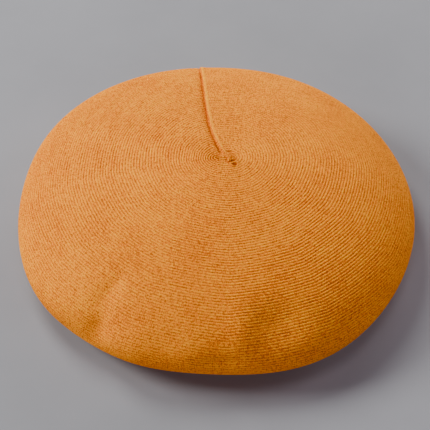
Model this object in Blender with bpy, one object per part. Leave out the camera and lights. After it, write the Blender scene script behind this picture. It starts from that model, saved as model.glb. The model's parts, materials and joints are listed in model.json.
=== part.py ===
"""Knitted wool beret lying on its opening: plain solids of every piece, in metres, +Z up.

The crown faces up (+Z), the closing seam runs towards the back (+Y, a little to -X) and the
origin is on the surface that the beret rests on, under the middle of its widest outline.
"""

import math

import bmesh
import bpy
from mathutils import Matrix, Vector

# ---------------------------------------------------------------- driving dimensions
RIM_RADIUS = 0.140            # widest fold of the beret, before the soft swells below
RIM_HEIGHT = 0.020            # the widest fold above the table
CROWN_RISE = 0.0536           # crown centre above the widest fold
CROWN_ROUNDNESS = 1.9         # 2 is an ellipse, less is more conical
CROWN_SHIFT = 0.010           # the crown centre has slid this far to +X
KNIT_THICKNESS = 0.0020
TOUCH_RADIUS = 0.106          # the underside lies flat inside this radius
OPENING_RADIUS = 0.086        # head opening: about 540 mm round
CLEARANCE = 0.0003            # between pieces that touch

# Soft swells and hollows of the outline: azimuth, outward swell, half width
RIM_SWELLS = (
    (math.radians(-60.0), 0.0040, math.radians(22.0)),
    (math.radians(-92.0), -0.0048, math.radians(22.0)),
    (math.radians(-15.0), 0.0014, math.radians(35.0)),
    (math.radians(90.0), -0.0020, math.radians(22.0)),
    (math.radians(135.0), 0.0024, math.radians(32.0)),
    (math.radians(180.0), -0.0040, math.radians(24.0)),
)
# One soft fold runs from the front left of the rim towards the crown
FOLD_AZIMUTH = math.radians(-126.0)
FOLD_DEPTH = 0.0040
FOLD_HALF_WIDTH = math.radians(11.0)
FOLD_REACH = 0.45             # how far up the crown it reaches, 0 at the rim and 1 at the tip

AROUND = 72                   # facets round the beret
CROWN_RINGS = 15
UNDER_RINGS = 9
FLAT_RINGS = 2

CROWN_HOLE_RADIUS = 0.0020    # the last loops of the crown are drawn together here
TIP_DEPTH = 0.0018
TIP_TAPER = 0.8               # top radius over bottom radius of the drawn-up loops
TIP_SIDES = 16
KNOT_RADIUS = 0.0026
KNOT_SQUASH = (1.0, 0.8, 0.6)
KNOT_DROP = 0.0024            # knot centre below the inside of the knit

SEAM_AZIMUTH = math.radians(93.5)
SEAM_SWING = math.radians(29.0)   # the seam curves into the crown over the first stretch of u
SEAM_SWING_REACH = 0.25
SEAM_WIDTH = 0.0030
SEAM_HEIGHT = 0.0009
SEAM_SPAN = (0.05, 1.55)      # u of its first and last stations
SEAM_STATIONS = 40
STRIP_SHOULDER = (0.36, 0.7)  # shares of a strip's width and height at its rounded shoulders
SELVEDGE_WIDTH = 0.0036
SELVEDGE_HEIGHT = 0.0012
SELVEDGE_SPAN = (0.10, 2.6)
SELVEDGE_GAP = 0.0009         # leaves room for the facets of the knit over it

HEM_WIDTH = 0.0130            # folded edge of the opening, lying flat
HEM_CHANNEL = 0.0036          # height of the channel that the elastic runs in
HEM_TURN_SIDES = 6
HEM_STITCHES = 54
STITCH_RADIUS = 0.0005

ELASTIC_RADIUS = 0.0009
ELASTIC_SIDES = 6
ELASTIC_JOIN_AZIMUTH = math.radians(108.0)
JOIN_LENGTH = 0.009
JOIN_WALL = 0.0004
JOIN_CLEARANCE = 0.0002
JOIN_STATIONS = 6
JOIN_SIDES = 12
ELASTIC_END_GAP = 0.0012

LABEL_AZIMUTH = math.radians(80.0)
LABEL_WIDTH = 0.030
LABEL_LENGTH = 0.024
LABEL_THICKNESS = 0.0005
LABEL_INSET = 0.006           # sewn edge of the label, inside the edge of the hem
LABEL_LIFT = 0.0008           # middle of the label above the hem
LABEL_TACKS = 14
TACK_INSET = 0.0015           # the tacking runs this far inside the label's hinge
TACK_RADIUS = 0.00025
TACK_SWING = 0.0007

# ---------------------------------------------------------------- derived dimensions
HEM_HEIGHT = 2.0 * KNIT_THICKNESS + HEM_CHANNEL
HEM_TURN_RADIUS = 0.5 * HEM_HEIGHT
HEM_MIDDLE_RADIUS = OPENING_RADIUS + HEM_TURN_RADIUS
HEM_OUTER_RADIUS = OPENING_RADIUS + HEM_WIDTH
UNDER_INNER_RADIUS = HEM_OUTER_RADIUS + CLEARANCE
ELASTIC_HEIGHT = 0.5 * HEM_HEIGHT
LABEL_HINGE_RADIUS = HEM_OUTER_RADIUS - LABEL_INSET
LABEL_HEIGHT = HEM_HEIGHT + LABEL_LIFT

KNIT_COLOUR = (0.80, 0.32, 0.055, 1.0)
SEAM_COLOUR = (0.72, 0.27, 0.045, 1.0)
THREAD_COLOUR = (0.70, 0.25, 0.040, 1.0)
ELASTIC_COLOUR = (0.82, 0.80, 0.76, 1.0)
LABEL_COLOUR = (0.86, 0.85, 0.82, 1.0)


# ---------------------------------------------------------------- scene helpers
def clear_scene():
    for item in list(bpy.data.objects):
        bpy.data.objects.remove(item, do_unlink=True)


def make_material(name, colour, roughness):
    material = bpy.data.materials.new(name)
    material.use_nodes = True
    shader = material.node_tree.nodes["Principled BSDF"]
    shader.inputs["Base Color"].default_value = colour
    shader.inputs["Roughness"].default_value = roughness
    shader.inputs["Metallic"].default_value = 0.0
    return material


def add_object(name, mesh, material):
    mesh.materials.append(material)
    mesh.shade_smooth()
    mesh.set_sharp_from_angle(angle=math.radians(40.0))
    item = bpy.data.objects.new(name, mesh)
    bpy.context.collection.objects.link(item)
    return item


def closed_grid(name, rows, wrap_rows, cap_ends=False):
    """Mesh of rows of points; every row is a closed loop. The rows close up, or get end caps."""
    verts = []
    for row in rows:
        verts.extend(row)
    across = len(rows[0])
    faces = []
    row_pairs = len(rows) if wrap_rows else len(rows) - 1
    for i in range(row_pairs):
        below = (i + 1) % len(rows)
        for j in range(across):
            right = (j + 1) % across
            faces.append((i * across + j, below * across + j, below * across + right, i * across + right))
    if cap_ends:
        faces.append(tuple(range(across)))
        last = (len(rows) - 1) * across
        faces.append(tuple(last + j for j in reversed(range(across))))
    mesh = bpy.data.meshes.new(name)
    mesh.from_pydata(verts, [], faces)
    return face_outward(mesh)


def face_outward(mesh):
    shape = bmesh.new()
    shape.from_mesh(mesh)
    bmesh.ops.recalc_face_normals(shape, faces=shape.faces)
    if shape.calc_volume(signed=True) < 0.0:
        bmesh.ops.reverse_faces(shape, faces=shape.faces)
    shape.to_mesh(mesh)
    shape.free()
    return mesh


def box_mesh(name, size, matrix):
    shape = bmesh.new()
    bmesh.ops.create_cube(shape, size=1.0, matrix=matrix @ Matrix.Diagonal((*size, 1.0)))
    mesh = bpy.data.meshes.new(name)
    shape.to_mesh(mesh)
    shape.free()
    return mesh


# ---------------------------------------------------------------- the surface of the beret
def bell(azimuth, centre, half_width):
    apart = (azimuth - centre + math.pi) % (2.0 * math.pi) - math.pi
    return math.exp(-((apart / half_width) ** 2))


def rim_radius(azimuth):
    swell = sum(size * bell(azimuth, centre, width) for centre, size, width in RIM_SWELLS)
    return RIM_RADIUS + swell


def rim_centre():
    """Middle of the widest outline's box, seam included, which the origin stands under."""
    turns = [2.0 * math.pi * k / AROUND for k in range(AROUND)]
    xs = [rim_radius(turn) * math.cos(turn) for turn in turns]
    ys = [rim_radius(turn) * math.sin(turn) for turn in turns]
    seam_top = rim_radius(SEAM_AZIMUTH) * math.sin(SEAM_AZIMUTH) + CLEARANCE + SEAM_HEIGHT
    return Vector((0.5 * (min(xs) + max(xs)), 0.5 * (min(ys) + seam_top), 0.0))


CENTRE = rim_centre()


def smooth_shape(u, azimuth):
    """Outer surface before its fold. u: 0 crown tip, 1 widest fold, 2 table, 3 edge of the hem."""
    outer = rim_radius(azimuth)
    if u <= 1.0:
        turn = max(u, 1e-6) * 0.5 * math.pi
        share = math.sin(turn) ** (2.0 / CROWN_ROUNDNESS)
        lift = max(math.cos(turn), 0.0) ** (2.0 / CROWN_ROUNDNESS)
        radius = outer * share
        slide = CROWN_SHIFT * (1.0 - share * share)
        height = RIM_HEIGHT + CROWN_RISE * lift
    elif u <= 2.0:
        turn = (u - 1.0) * 0.5 * math.pi
        radius = TOUCH_RADIUS + (outer - TOUCH_RADIUS) * math.cos(turn)
        slide = 0.0
        height = RIM_HEIGHT * (1.0 - math.sin(turn))
    else:
        radius = TOUCH_RADIUS + (UNDER_INNER_RADIUS - TOUCH_RADIUS) * (u - 2.0)
        slide = 0.0
        height = 0.0
    return Vector((radius * math.cos(azimuth) + slide, radius * math.sin(azimuth), height))


def outer_point(u, azimuth):
    point = smooth_shape(u, azimuth)
    if 1.0 - FOLD_REACH < u < 1.0 + FOLD_REACH:
        along = math.cos((u - 1.0) / FOLD_REACH * 0.5 * math.pi) ** 2
        depth = FOLD_DEPTH * along * bell(azimuth, FOLD_AZIMUTH, FOLD_HALF_WIDTH)
        inward = Vector((0.0, 0.0, RIM_HEIGHT)) - point
        point += inward.normalized() * depth
    return point


def surface_frame(u, azimuth):
    """Point, outward normal and the direction round the beret, on the outer surface."""
    step = 1e-3
    low = max(u - step, 1e-4)
    if 1.0 < u <= 2.0:
        high = min(u + step, 2.0)
    else:
        high = min(u + step, 3.0)
    down = outer_point(high, azimuth) - outer_point(low, azimuth)
    around = outer_point(u, azimuth + step) - outer_point(u, azimuth - step)
    normal = down.cross(around).normalized()
    if u >= 2.0:
        normal = Vector((0.0, 0.0, -1.0))
    return outer_point(u, azimuth), normal, around.normalized()


def shell_mesh(name, stations):
    """Closed knit shell through the stations: its outer surface, then its inner one back."""
    azimuths = [2.0 * math.pi * k / AROUND for k in range(AROUND)]
    outer_rows = []
    inner_rows = []
    for u, rise in stations:
        outer_row = []
        inner_row = []
        for azimuth in azimuths:
            point, normal, _ = surface_frame(u, azimuth)
            point = point - CENTRE + Vector((0.0, 0.0, rise))
            outer_row.append(point)
            inner_row.append(point - normal * KNIT_THICKNESS)
        outer_rows.append(outer_row)
        inner_rows.append(inner_row)
    return closed_grid(name, outer_rows + inner_rows[::-1], wrap_rows=True)


def crown_ring_place(radius):
    """u of the crown ring with this radius."""
    share = (radius / RIM_RADIUS) ** (CROWN_ROUNDNESS / 2.0)
    return math.asin(share) / (0.5 * math.pi)


# ---------------------------------------------------------------- the knit
def build_crown(material):
    first = crown_ring_place(CROWN_HOLE_RADIUS)
    stations = [(first + (1.0 - first) * k / CROWN_RINGS, 0.0) for k in range(CROWN_RINGS)]
    stations.append((1.0, 0.5 * CLEARANCE))
    return add_object("crown_knit", shell_mesh("crown_knit", stations), material)


def build_underside(material):
    stations = [(1.0, -0.5 * CLEARANCE)]
    stations += [(1.0 + k / UNDER_RINGS, 0.0) for k in range(1, UNDER_RINGS + 1)]
    stations += [(2.0 + k / FLAT_RINGS, 0.0) for k in range(1, FLAT_RINGS + 1)]
    return add_object("underside_knit", shell_mesh("underside_knit", stations), material)


def hem_section():
    """Folded hem, from the end of its lower layer, round the turn, to the end of its upper one."""
    outside = [(HEM_OUTER_RADIUS, 0.0)]
    inside = [(HEM_OUTER_RADIUS, KNIT_THICKNESS)]
    for k in range(HEM_TURN_SIDES + 1):
        turn = math.pi * k / HEM_TURN_SIDES
        cosine = math.sin(turn)
        sine = -math.cos(turn)
        inner = HEM_TURN_RADIUS - KNIT_THICKNESS
        outside.append((HEM_MIDDLE_RADIUS - HEM_TURN_RADIUS * cosine, HEM_TURN_RADIUS * (1.0 + sine)))
        inside.append((HEM_MIDDLE_RADIUS - inner * cosine, HEM_TURN_RADIUS + inner * sine))
    outside.append((HEM_OUTER_RADIUS, HEM_HEIGHT))
    inside.append((HEM_OUTER_RADIUS, HEM_HEIGHT - KNIT_THICKNESS))
    return outside + inside[::-1]


def turned_ring(name, section):
    rows = []
    for k in range(AROUND):
        azimuth = 2.0 * math.pi * k / AROUND
        row = [Vector((r * math.cos(azimuth), r * math.sin(azimuth), z)) - CENTRE for r, z in section]
        rows.append(row)
    return closed_grid(name, rows, wrap_rows=True)


def build_hem(material):
    return add_object("headband_welt", turned_ring("headband_welt", hem_section()), material)


# ---------------------------------------------------------------- seam and crown tip
def seam_azimuth(u):
    """The seam runs straight up the back of the crown and curves to the right into its tip."""
    return SEAM_AZIMUTH + SEAM_SWING * math.exp(-u / SEAM_SWING_REACH)


def seam_strip(name, span, width, height, offset):
    """Low half-round strip along the seam: offset is from the outer surface, below 0 is inside."""
    sign = 1.0 if offset >= 0.0 else -1.0
    shoulder, rise = STRIP_SHOULDER
    section = ((-0.5, 0.0), (-shoulder, rise), (0.0, 1.0), (shoulder, rise), (0.5, 0.0))
    rows = []
    for k in range(SEAM_STATIONS + 1):
        u = span[0] + (span[1] - span[0]) * k / SEAM_STATIONS
        point, normal, side = surface_frame(u, seam_azimuth(u))
        base = point - CENTRE + normal * offset
        row = []
        for across, up in section:
            row.append(base + side * (across * width) + normal * (sign * up * height))
        rows.append(row)
    return closed_grid(name, rows, wrap_rows=False, cap_ends=True)


def build_closing_seam(material):
    mesh = seam_strip("closing_seam", SEAM_SPAN, SEAM_WIDTH, SEAM_HEIGHT, CLEARANCE)
    return add_object("closing_seam", mesh, material)


def build_selvedges(material):
    """The two linked edges of the knitting, turned in and pressed flat inside the beret."""
    inside = -(KNIT_THICKNESS + SELVEDGE_GAP)
    mesh = seam_strip("seam_selvedges", SELVEDGE_SPAN, SELVEDGE_WIDTH, SELVEDGE_HEIGHT, inside)
    return add_object("seam_selvedges", mesh, material)


def crown_tip():
    return Vector((CROWN_SHIFT, 0.0, RIM_HEIGHT + CROWN_RISE)) - CENTRE


def disc_mesh(name, radius, top_radius, depth, centre):
    shape = bmesh.new()
    bmesh.ops.create_cone(
        shape,
        cap_ends=True,
        segments=TIP_SIDES,
        radius1=radius,
        radius2=top_radius,
        depth=depth,
        matrix=Matrix.Translation(centre),
    )
    mesh = bpy.data.meshes.new(name)
    shape.to_mesh(mesh)
    shape.free()
    return mesh


def build_tip_stitch(material):
    """The drawn-up loops that close the hole in the crown."""
    radius = CROWN_HOLE_RADIUS - 2.0 * CLEARANCE
    centre = crown_tip() - Vector((0.0, 0.0, 0.5 * TIP_DEPTH))
    mesh = disc_mesh("crown_tip_stitch", radius, TIP_TAPER * radius, TIP_DEPTH, centre)
    return add_object("crown_tip_stitch", mesh, material)


def build_gather_knot(material):
    """Knot that ties off the gathering yarn under the crown."""
    shape = bmesh.new()
    centre = crown_tip() - Vector((0.0, 0.0, KNIT_THICKNESS + KNOT_DROP))
    squashed = Matrix.Translation(centre) @ Matrix.Diagonal((*KNOT_SQUASH, 1.0))
    bmesh.ops.create_icosphere(shape, subdivisions=2, radius=KNOT_RADIUS, matrix=squashed)
    mesh = bpy.data.meshes.new("gather_knot")
    shape.to_mesh(mesh)
    shape.free()
    return add_object("gather_knot", mesh, material)


# ---------------------------------------------------------------- hem stitches and elastic
def yarn_rows(points, radius, closed):
    """Square yarn section round each point, for a yarn that runs round the hem."""
    rows = []
    count = len(points)
    for k, point in enumerate(points):
        if closed:
            along = points[(k + 1) % count] - points[k - 1]
        else:
            along = points[min(k + 1, count - 1)] - points[max(k - 1, 0)]
        outward = Vector((point.x, point.y, 0.0)).normalized()
        upward = outward.cross(along).normalized()
        row = []
        for turn in (0.25, 0.75, 1.25, 1.75):
            angle = turn * math.pi
            row.append(point + radius * (outward * math.cos(angle) + upward * math.sin(angle)))
        rows.append(row)
    return rows


def build_welt_stitch(material):
    """Zigzag linking yarn that holds the hem's upper layer down to the underside."""
    low = KNIT_THICKNESS + CLEARANCE + STITCH_RADIUS
    high = HEM_HEIGHT - STITCH_RADIUS
    radius = HEM_OUTER_RADIUS + 2.0 * CLEARANCE + STITCH_RADIUS
    points = []
    for k in range(HEM_STITCHES * 4):
        azimuth = 2.0 * math.pi * k / (HEM_STITCHES * 4)
        wave = (0.0, 1.0, 0.0, -1.0)[k % 4]
        height = 0.5 * (low + high) + 0.5 * (high - low) * wave
        points.append(Vector((radius * math.cos(azimuth), radius * math.sin(azimuth), height)) - CENTRE)
    mesh = closed_grid("welt_stitch", yarn_rows(points, STITCH_RADIUS, True), wrap_rows=True)
    return add_object("welt_stitch", mesh, material)


def ring_tube_rows(first, last, stations, radius, sides):
    rows = []
    for k in range(stations + 1):
        azimuth = first + (last - first) * k / stations
        row = []
        for j in range(sides):
            turn = 2.0 * math.pi * j / sides
            reach = HEM_MIDDLE_RADIUS + radius * math.cos(turn)
            height = ELASTIC_HEIGHT + radius * math.sin(turn)
            row.append(Vector((reach * math.cos(azimuth), reach * math.sin(azimuth), height)) - CENTRE)
        rows.append(row)
    return rows


def build_elastic(material):
    half_gap = 0.5 * ELASTIC_END_GAP / HEM_MIDDLE_RADIUS
    first = ELASTIC_JOIN_AZIMUTH + half_gap
    last = ELASTIC_JOIN_AZIMUTH + 2.0 * math.pi - half_gap
    rows = ring_tube_rows(first, last, AROUND, ELASTIC_RADIUS, ELASTIC_SIDES)
    mesh = closed_grid("elastic_cord", rows, wrap_rows=False, cap_ends=True)
    return add_object("elastic_cord", mesh, material)


def build_elastic_join(material):
    """Crimped sleeve over the two ends of the elastic."""
    half = 0.5 * JOIN_LENGTH / HEM_MIDDLE_RADIUS
    first = ELASTIC_JOIN_AZIMUTH - half
    last = ELASTIC_JOIN_AZIMUTH + half
    bore = ELASTIC_RADIUS + JOIN_CLEARANCE
    outside = ring_tube_rows(first, last, JOIN_STATIONS, bore + JOIN_WALL, JOIN_SIDES)
    inside = ring_tube_rows(first, last, JOIN_STATIONS, bore, JOIN_SIDES)
    mesh = closed_grid("elastic_join", outside + inside[::-1], wrap_rows=True)
    return add_object("elastic_join", mesh, material)


# ---------------------------------------------------------------- care label
def label_frame(radius, height):
    """Frame with X outward from the opening and Y along the hem, at the label's place."""
    centre = Vector((radius * math.cos(LABEL_AZIMUTH), radius * math.sin(LABEL_AZIMUTH), height))
    return Matrix.Translation(centre - CENTRE) @ Matrix.Rotation(LABEL_AZIMUTH, 4, "Z")


def build_label(material):
    """Blank folded label. It turns about its sewn edge, which is its parent empty's Y axis."""
    hinge = bpy.data.objects.new("care_label_hinge", None)
    bpy.context.collection.objects.link(hinge)
    hinge.matrix_world = label_frame(LABEL_HINGE_RADIUS, LABEL_HEIGHT)
    middle = Matrix.Translation((0.5 * LABEL_LENGTH, 0.0, 0.0))
    mesh = box_mesh("care_label", (LABEL_LENGTH, LABEL_WIDTH, LABEL_THICKNESS), middle)
    label = add_object("care_label", mesh, material)
    label.parent = hinge
    return label


def build_label_tack(material):
    """Zigzag thread along the label's sewn edge."""
    frame = label_frame(LABEL_HINGE_RADIUS - TACK_INSET, HEM_HEIGHT + CLEARANCE + TACK_RADIUS)
    points = []
    for k in range(LABEL_TACKS + 1):
        along = LABEL_WIDTH * (k / LABEL_TACKS - 0.5)
        across = TACK_SWING if k % 2 else -TACK_SWING
        points.append(frame @ Vector((across, along, 0.0)))
    mesh = closed_grid("label_tack", yarn_rows(points, TACK_RADIUS, False), wrap_rows=False, cap_ends=True)
    return add_object("label_tack", mesh, material)


# ---------------------------------------------------------------- assembly
def build_beret():
    clear_scene()
    knit = make_material("wool_knit", KNIT_COLOUR, 0.9)
    seam = make_material("seam_knit", SEAM_COLOUR, 0.9)
    thread = make_material("linking_yarn", THREAD_COLOUR, 0.85)
    elastic = make_material("elastic", ELASTIC_COLOUR, 0.7)
    label = make_material("label_tape", LABEL_COLOUR, 0.6)
    build_crown(knit)
    build_underside(knit)
    build_hem(knit)
    build_closing_seam(seam)
    build_selvedges(seam)
    build_tip_stitch(thread)
    build_gather_knot(thread)
    build_welt_stitch(thread)
    build_elastic(elastic)
    build_elastic_join(elastic)
    build_label(label)
    build_label_tack(thread)


build_beret()
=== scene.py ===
import json
import math
import random

import bmesh
import bpy
import numpy as np
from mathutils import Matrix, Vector


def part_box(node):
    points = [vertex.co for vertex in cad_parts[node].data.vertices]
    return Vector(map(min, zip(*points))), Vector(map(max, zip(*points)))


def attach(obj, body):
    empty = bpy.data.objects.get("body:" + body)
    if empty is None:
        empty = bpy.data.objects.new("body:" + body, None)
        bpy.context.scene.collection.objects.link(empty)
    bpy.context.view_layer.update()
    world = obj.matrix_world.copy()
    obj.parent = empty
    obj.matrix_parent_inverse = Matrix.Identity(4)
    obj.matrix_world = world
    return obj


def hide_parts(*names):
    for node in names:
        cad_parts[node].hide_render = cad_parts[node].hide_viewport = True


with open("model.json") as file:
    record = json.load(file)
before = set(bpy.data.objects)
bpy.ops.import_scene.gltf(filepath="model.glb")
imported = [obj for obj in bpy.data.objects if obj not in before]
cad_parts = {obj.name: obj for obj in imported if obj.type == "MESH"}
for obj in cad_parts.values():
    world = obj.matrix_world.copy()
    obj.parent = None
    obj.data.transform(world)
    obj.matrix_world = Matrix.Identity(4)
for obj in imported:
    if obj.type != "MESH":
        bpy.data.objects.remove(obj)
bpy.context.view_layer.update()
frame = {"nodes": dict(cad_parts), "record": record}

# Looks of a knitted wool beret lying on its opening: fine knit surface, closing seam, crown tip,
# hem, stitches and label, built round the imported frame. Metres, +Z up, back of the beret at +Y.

BODY = "beret"
LABEL_BODY = "label"

# ---------------------------------------------------------------- sizes read from the frame
HEM_LOW, HEM_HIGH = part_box("headband_welt")
CROWN_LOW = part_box("crown_knit")[0]
UNDER_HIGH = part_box("underside_knit")[1]
TIP_LOW, TIP_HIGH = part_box("crown_tip_stitch")
KNOT_LOW, KNOT_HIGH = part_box("gather_knot")

AXIS = np.array([0.5 * (HEM_LOW.x + HEM_HIGH.x), 0.5 * (HEM_LOW.y + HEM_HIGH.y), 0.0])
HEM_OUTER_RADIUS = 0.5 * (HEM_HIGH.x - HEM_LOW.x)
HEM_HEIGHT = HEM_HIGH.z
TIP = np.array([0.5 * (TIP_LOW.x + TIP_HIGH.x), 0.5 * (TIP_LOW.y + TIP_HIGH.y), TIP_HIGH.z])
CROWN_SHIFT = TIP[0] - AXIS[0]
RIM_HEIGHT = 0.5 * (UNDER_HIGH.z + CROWN_LOW.z)
CROWN_RISE = TIP[2] - RIM_HEIGHT

# ---------------------------------------------------------------- shape of the knit
RIM_RADIUS = 0.140
CROWN_ROUNDNESS = 1.9
KNIT_THICKNESS = 0.0020
TOUCH_RADIUS = 0.106          # the underside lies flat inside this radius
UNDER_INNER_RADIUS = HEM_OUTER_RADIUS + 0.0003
RIM_SWELLS = (                # azimuth, outward swell, half width
    (-60.0, 0.0040, 22.0),
    (-92.0, -0.0048, 22.0),
    (-15.0, 0.0014, 35.0),
    (90.0, -0.0020, 22.0),
    (135.0, 0.0024, 32.0),
    (180.0, -0.0040, 24.0),
)
FOLD_AZIMUTH = math.radians(-126.0)
FOLD_DEPTH = 0.0033
FOLD_HALF_WIDTH = math.radians(11.0)
FOLD_REACH = 0.45
# Soft dents and swells that the slack fabric takes: u, azimuth, half widths in both, inward depth
DENTS = (
    (0.66, -126.5, 0.10, 3.0, 0.0034),
    (0.87, -124.0, 0.11, 3.0, 0.0038),
    (0.80, -136.0, 0.16, 7.5, -0.0012),
    (0.84, -112.5, 0.15, 7.0, -0.0024),
    (0.71, -71.0, 0.12, 8.0, 0.0048),
    (0.905, -88.0, 0.035, 4.0, 0.0022),
    (0.84, -97.0, 0.13, 7.0, -0.0022),
    (0.70, -82.5, 0.13, 4.2, -0.0020),
    (0.72, -35.0, 0.20, 14.0, -0.0008),
    (0.80, 165.0, 0.20, 14.0, 0.0008),
    (0.62, 20.0, 0.20, 16.0, 0.0006),
    (1.25, 60.0, 0.20, 12.0, 0.0010),
    (1.30, -20.0, 0.22, 10.0, 0.0012),
    (1.25, -165.0, 0.20, 9.0, 0.0012),
)

SEAM_AZIMUTH = math.radians(93.5)
SEAM_SWING = math.radians(29.0)
SEAM_SWING_REACH = 0.25
SEAM_SWING_SPREAD = math.radians(50.0)

# ---------------------------------------------------------------- knitting
WALE_PITCH = 0.00198          # the knitted ribs run in rings round the crown
BACK_STRETCH = 0.00014        # the ribs are this much wider at the back and narrower at the front
WALES = 108                   # ribs from the crown tip to the hem
SPLIT_WALE = 88               # the knit piece of the crown ends at this rib, just under the rim
FIRST_WALE = 0.25
STITCH_LENGTH = 0.00145
RIB_DEPTH = 0.00034
ROWS_PER_WALE = 4
GORES = 12
GORE_CORNERS = 0.3            # 0: round rings, 1: straight sides between the gores
COLUMNS = 336                 # a multiple of 4 and of the gores
SEAM_CROWDING = 1.6           # columns crowd towards the seam
COARSE_UNTIL = 20             # ribs up to here have a quarter of the columns,
MIDDLE_UNTIL = 40             # and up to here half of them
TABLE_STEPS = 900


def bell(azimuth, centre, half_width):
    apart = (azimuth - centre + math.pi) % (2.0 * math.pi) - math.pi
    return np.exp(-((apart / half_width) ** 2))


def hump(value, centre, half_width):
    return np.exp(-(((value - centre) / half_width) ** 2))


def smoothstep(low, high, value):
    share = np.clip((value - low) / (high - low), 0.0, 1.0)
    return share * share * (3.0 - 2.0 * share)


def rim_radius(azimuth):
    radius = np.full_like(azimuth, RIM_RADIUS)
    for centre, size, width in RIM_SWELLS:
        radius += size * bell(azimuth, math.radians(centre), math.radians(width))
    return radius


def seam_swing(u, column):
    return SEAM_SWING * np.exp(-u / SEAM_SWING_REACH) * bell(column, SEAM_AZIMUTH, SEAM_SWING_SPREAD)


def surface(u, column):
    """Outer surface. u: 0 crown tip, 1 widest fold, 2 table, 3 hem. column: azimuth at the rim."""
    u, column = np.broadcast_arrays(np.asarray(u, float), np.asarray(column, float))
    azimuth = column + seam_swing(u, column)
    outer = rim_radius(azimuth)
    turn = np.clip(u, 1e-6, 1.0) * 0.5 * math.pi
    share = np.sin(turn) ** (2.0 / CROWN_ROUNDNESS)
    lift = np.maximum(np.cos(turn), 0.0) ** (2.0 / CROWN_ROUNDNESS)
    bend = np.clip(u - 1.0, 0.0, 1.0) * 0.5 * math.pi
    flat = np.clip(u - 2.0, 0.0, 1.0)
    side_radius = TOUCH_RADIUS + (outer - TOUCH_RADIUS) * np.cos(bend)
    flat_radius = TOUCH_RADIUS + (UNDER_INNER_RADIUS - TOUCH_RADIUS) * flat
    radius = np.where(u <= 1.0, outer * share, np.where(u <= 2.0, side_radius, flat_radius))
    slide = np.where(u <= 1.0, CROWN_SHIFT * (1.0 - share * share), 0.0)
    height = np.where(u <= 1.0, RIM_HEIGHT + CROWN_RISE * lift, RIM_HEIGHT * (1.0 - np.sin(bend)))
    point = np.stack([radius * np.cos(azimuth) + slide, radius * np.sin(azimuth), height], axis=-1)
    reach = np.clip(np.abs(u - 1.0) / FOLD_REACH, 0.0, 1.0)
    depth = FOLD_DEPTH * np.cos(reach * 0.5 * math.pi) ** 2 * bell(azimuth, FOLD_AZIMUTH, FOLD_HALF_WIDTH)
    for place, centre, u_half, half, size in DENTS:
        beside = bell(azimuth, math.radians(centre), math.radians(half))
        depth = depth + size * hump(u, place, u_half) * beside
    inward = np.array([0.0, 0.0, RIM_HEIGHT]) - point
    inward /= np.maximum(np.linalg.norm(inward, axis=-1, keepdims=True), 1e-9)
    point = point + inward * depth[..., None]
    return point + AXIS


def surface_normal(u, column):
    step = 2e-3
    low = np.maximum(u - step, 1e-3)
    high = np.minimum(u + step, 3.0)
    down = surface(high, column) - surface(low, column)
    around = surface(u, column + step) - surface(u, column - step)
    normal = np.cross(down, around)
    return normal / np.linalg.norm(normal, axis=-1, keepdims=True)


def column_azimuths(count):
    """Azimuths at the rim, starting at the seam and crowding towards it from both sides."""
    gore = 2.0 * math.pi / GORES
    places = np.arange(count + 1) / count * GORES
    azimuths = places * gore
    first = places < 1.0
    last = places > GORES - 1.0
    azimuths[first] = gore * places[first] ** SEAM_CROWDING
    azimuths[last] = 2.0 * math.pi - gore * (GORES - places[last]) ** SEAM_CROWDING
    return SEAM_AZIMUTH + azimuths


def gore_offset(column):
    """Angle from the middle of the column's gore."""
    gore = 2.0 * math.pi / GORES
    return (column - SEAM_AZIMUTH) % gore - 0.5 * gore


def waver(length, column):
    """Slow unevenness of the ribs, in ribs."""
    drift = 0.10 * np.sin(3.0 * column + 60.0 * length + 0.4)
    drift = drift + 0.07 * np.sin(7.0 * column - 90.0 * length + 2.1)
    drift = drift + 0.04 * np.sin(13.0 * column + 150.0 * length + 4.0)
    return drift * smoothstep(0.004, 0.030, length)


class WaleMap:
    """Finds the place u of a rib on each column, from arc length along the surface."""

    def __init__(self):
        self.columns = column_azimuths(COLUMNS)[:-1]
        self.steps = np.linspace(0.0, 3.0, TABLE_STEPS)
        points = surface(self.steps[:, None], self.columns[None, :])
        hops = np.linalg.norm(np.diff(points, axis=0), axis=-1)
        self.lengths = np.vstack([np.zeros(COLUMNS), np.cumsum(hops, axis=0)])
        pitch = WALE_PITCH + BACK_STRETCH * np.sin(self.columns)
        corner = 1.0 + GORE_CORNERS * (1.0 / np.cos(gore_offset(self.columns)) - 1.0)
        wales = self.lengths / (pitch * corner)
        wales += waver(self.lengths, self.columns[None, :])
        rim = np.searchsorted(self.steps, 1.0)
        below = (self.lengths[rim:] - self.lengths[rim]) / (self.lengths[-1] - self.lengths[rim])
        wales[rim:] = wales[rim] + (WALES - wales[rim]) * below
        self.wales = np.maximum.accumulate(wales, axis=0)

    def place(self, wale, every):
        """u of the rib on every so-many-th column."""
        picked = range(0, COLUMNS, every)
        return np.array([np.interp(wale, self.wales[:, k], self.steps) for k in picked])


wale_map = WaleMap()


def column_step(wale):
    if wale < COARSE_UNTIL:
        return 4
    if wale < MIDDLE_UNTIL:
        return 2
    return 1


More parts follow.
